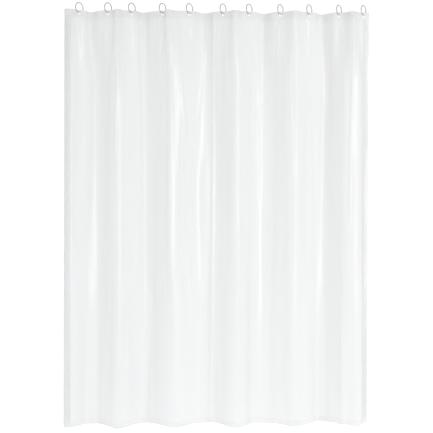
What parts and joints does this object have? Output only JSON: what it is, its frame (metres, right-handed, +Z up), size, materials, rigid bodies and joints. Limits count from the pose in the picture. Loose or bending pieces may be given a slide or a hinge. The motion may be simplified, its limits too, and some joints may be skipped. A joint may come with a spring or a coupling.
{
  "type": "shower curtain",
  "caption": "White translucent plastic shower curtain with welded hems, hung in soft folds from open plastic rings through eyelets along its top edge.",
  "frame": {"origin": "on the curtain rod's axis, over the middle of the row of rings", "axes": "+X along the rod from the fixed end to the free end, -Y the front, +Z up"},
  "size_m": [1.4687, 0.0854, 2.0369],
  "materials": {
    "film": "satin",
    "hem_film": "satin",
    "eyelet_plastic": "satin",
    "ring_plastic": "gloss"
  },
  "bodies": {
    "curtain": {"curtain_sheet": "film", "top_hem": "hem_film", "bottom_hem": "hem_film", "left_hem": "hem_film", "right_hem": "hem_film", "eyelet_01": "eyelet_plastic"},
    "hanger_02": {"eyelet_02": "eyelet_plastic"},
    "hanger_03": {"eyelet_03": "eyelet_plastic"},
    "hanger_04": {"eyelet_04": "eyelet_plastic"},
    "hanger_05": {"eyelet_05": "eyelet_plastic"},
    "hanger_06": {"eyelet_06": "eyelet_plastic"},
    "hanger_07": {"eyelet_07": "eyelet_plastic"},
    "hanger_08": {"eyelet_08": "eyelet_plastic"},
    "hanger_09": {"eyelet_09": "eyelet_plastic"},
    "hanger_10": {"eyelet_10": "eyelet_plastic"},
    "hanger_11": {"eyelet_11": "eyelet_plastic"},
    "ring_01": {"ring_01": "ring_plastic"},
    "ring_02": {"ring_02": "ring_plastic"},
    "ring_03": {"ring_03": "ring_plastic"},
    "ring_04": {"ring_04": "ring_plastic"},
    "ring_05": {"ring_05": "ring_plastic"},
    "ring_06": {"ring_06": "ring_plastic"},
    "ring_07": {"ring_07": "ring_plastic"},
    "ring_08": {"ring_08": "ring_plastic"},
    "ring_09": {"ring_09": "ring_plastic"},
    "ring_10": {"ring_10": "ring_plastic"},
    "ring_11": {"ring_11": "ring_plastic"}
  },
  "joints": [
    {"name": "draw", "type": "slide", "parent": "curtain", "child": "hanger_02", "axis": [-1, 0, 0], "range_m": [0, 0.092], "deforming": ["curtain_sheet", "top_hem", "bottom_hem", "left_hem", "right_hem"]},
    {"name": "gap_03_close", "type": "slide", "parent": "hanger_02", "child": "hanger_03", "axis": [-1, 0, 0], "range_m": [0, 0.076]},
    {"name": "gap_04_close", "type": "slide", "parent": "hanger_03", "child": "hanger_04", "axis": [-1, 0, 0], "range_m": [0, 0.0987]},
    {"name": "gap_05_close", "type": "slide", "parent": "hanger_04", "child": "hanger_05", "axis": [-1, 0, 0], "range_m": [0, 0.0867]},
    {"name": "gap_06_close", "type": "slide", "parent": "hanger_05", "child": "hanger_06", "axis": [-1, 0, 0], "range_m": [0, 0.108]},
    {"name": "gap_07_close", "type": "slide", "parent": "hanger_06", "child": "hanger_07", "axis": [-1, 0, 0], "range_m": [0, 0.0847]},
    {"name": "gap_08_close", "type": "slide", "parent": "hanger_07", "child": "hanger_08", "axis": [-1, 0, 0], "range_m": [0, 0.1007]},
    {"name": "gap_09_close", "type": "slide", "parent": "hanger_08", "child": "hanger_09", "axis": [-1, 0, 0], "range_m": [0, 0.094]},
    {"name": "gap_10_close", "type": "slide", "parent": "hanger_09", "child": "hanger_10", "axis": [-1, 0, 0], "range_m": [0, 0.0967]},
    {"name": "gap_11_close", "type": "slide", "parent": "hanger_10", "child": "hanger_11", "axis": [-1, 0, 0], "range_m": [0, 0.08]},
    {"name": "ring_01_turn", "type": "hinge", "parent": "curtain", "child": "ring_01", "pos_m": [-0.688, 0, 0], "axis": [0, 0, 1], "range_deg": [0, 25]},
    {"name": "ring_02_turn", "type": "hinge", "parent": "hanger_02", "child": "ring_02", "pos_m": [-0.55, 0, 0], "axis": [0, 0, 1], "range_deg": [0, 25]},
    {"name": "ring_03_turn", "type": "hinge", "parent": "hanger_03", "child": "ring_03", "pos_m": [-0.436, 0, 0], "axis": [0, 0, 1], "range_deg": [0, 25]},
    {"name": "ring_04_turn", "type": "hinge", "parent": "hanger_04", "child": "ring_04", "pos_m": [-0.288, 0, 0], "axis": [0, 0, 1], "range_deg": [0, 25]},
    {"name": "ring_05_turn", "type": "hinge", "parent": "hanger_05", "child": "ring_05", "pos_m": [-0.158, 0, 0], "axis": [0, 0, 1], "range_deg": [0, 25]},
    {"name": "ring_06_turn", "type": "hinge", "parent": "hanger_06", "child": "ring_06", "pos_m": [0.004, 0, 0], "axis": [0, 0, 1], "range_deg": [0, 25]},
    {"name": "ring_07_turn", "type": "hinge", "parent": "hanger_07", "child": "ring_07", "pos_m": [0.131, 0, 0], "axis": [0, 0, 1], "range_deg": [0, 25]},
    {"name": "ring_08_turn", "type": "hinge", "parent": "hanger_08", "child": "ring_08", "pos_m": [0.282, 0, 0], "axis": [0, 0, 1], "range_deg": [0, 25]},
    {"name": "ring_09_turn", "type": "hinge", "parent": "hanger_09", "child": "ring_09", "pos_m": [0.423, 0, 0], "axis": [0, 0, 1], "range_deg": [0, 25]},
    {"name": "ring_10_turn", "type": "hinge", "parent": "hanger_10", "child": "ring_10", "pos_m": [0.568, 0, 0], "axis": [0, 0, 1], "range_deg": [0, 25]},
    {"name": "ring_11_turn", "type": "hinge", "parent": "hanger_11", "child": "ring_11", "pos_m": [0.688, 0, 0], "axis": [0, 0, 1], "range_deg": [0, 25]}
  ],
  "couplings": [
    {"joint": "gap_03_close", "follows": "draw", "ratio": 0.82609},
    {"joint": "gap_04_close", "follows": "draw", "ratio": 1.0725},
    {"joint": "gap_05_close", "follows": "draw", "ratio": 0.94203},
    {"joint": "gap_06_close", "follows": "draw", "ratio": 1.1739},
    {"joint": "gap_07_close", "follows": "draw", "ratio": 0.92029},
    {"joint": "gap_08_close", "follows": "draw", "ratio": 1.0942},
    {"joint": "gap_09_close", "follows": "draw", "ratio": 1.0217},
    {"joint": "gap_10_close", "follows": "draw", "ratio": 1.0507},
    {"joint": "gap_11_close", "follows": "draw", "ratio": 0.86957},
    {"joint": "ring_01_turn", "follows": "draw", "rad_per_m": 4.7427},
    {"joint": "ring_02_turn", "follows": "draw", "rad_per_m": 4.7427},
    {"joint": "ring_03_turn", "follows": "draw", "rad_per_m": 4.7427},
    {"joint": "ring_04_turn", "follows": "draw", "rad_per_m": 4.7427},
    {"joint": "ring_05_turn", "follows": "draw", "rad_per_m": 4.7427},
    {"joint": "ring_06_turn", "follows": "draw", "rad_per_m": 4.7427},
    {"joint": "ring_07_turn", "follows": "draw", "rad_per_m": 4.7427},
    {"joint": "ring_08_turn", "follows": "draw", "rad_per_m": 4.7427},
    {"joint": "ring_09_turn", "follows": "draw", "rad_per_m": 4.7427},
    {"joint": "ring_10_turn", "follows": "draw", "rad_per_m": 4.7427},
    {"joint": "ring_11_turn", "follows": "draw", "rad_per_m": 4.7427}
  ]
}
